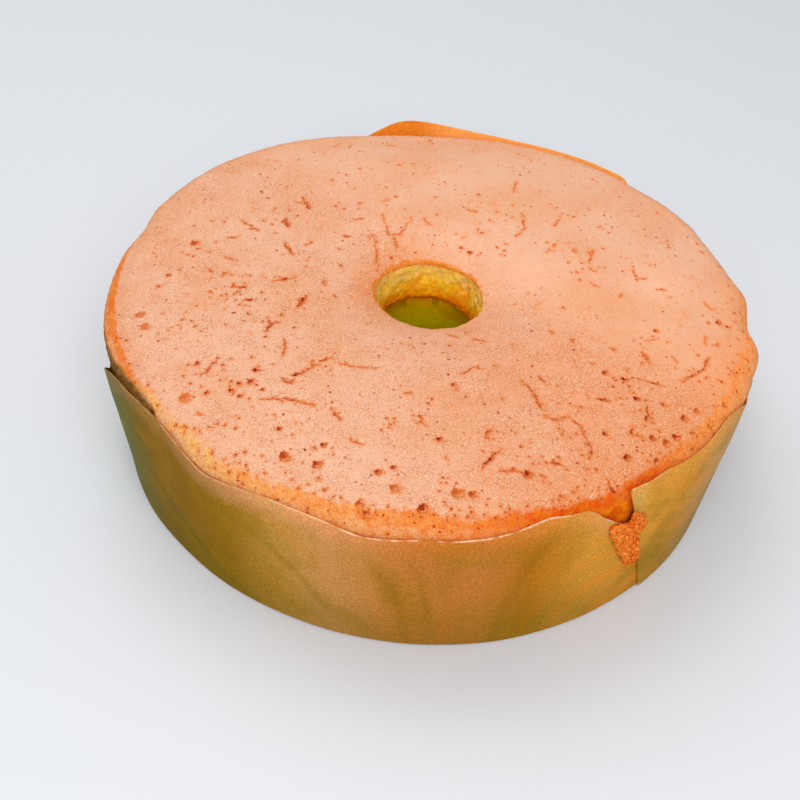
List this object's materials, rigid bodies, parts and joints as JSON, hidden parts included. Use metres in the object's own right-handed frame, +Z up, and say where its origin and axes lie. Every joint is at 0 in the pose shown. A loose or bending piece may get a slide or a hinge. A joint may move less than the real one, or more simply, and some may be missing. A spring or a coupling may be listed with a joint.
{
  "type": "pandan ring cake",
  "caption": "Round ring-shaped sponge cake with a browned, pitted and cracked top, a hole through its middle and a greaseproof paper collar round its side.",
  "frame": {"origin": "under the middle of the cake's hole, on the surface that the cake stands on", "axes": "+Z up; -Y is the side the picture looks at; +X is the picture's right"},
  "size_m": [0.2099, 0.2124, 0.0609],
  "materials": {
    "baked_cake": "dry baked skin, browned at the rim, yellow to green crumb in the hole",
    "greaseproof_paper": "thin, oil-stained and faintly glossy",
    "leaked_crust": "rough, crumbly browned batter"
  },
  "bodies": {
    "root": {"cake": "baked_cake", "paper_collar": "greaseproof_paper", "crust_drip": "leaked_crust"}
  },
  "joints": []
}
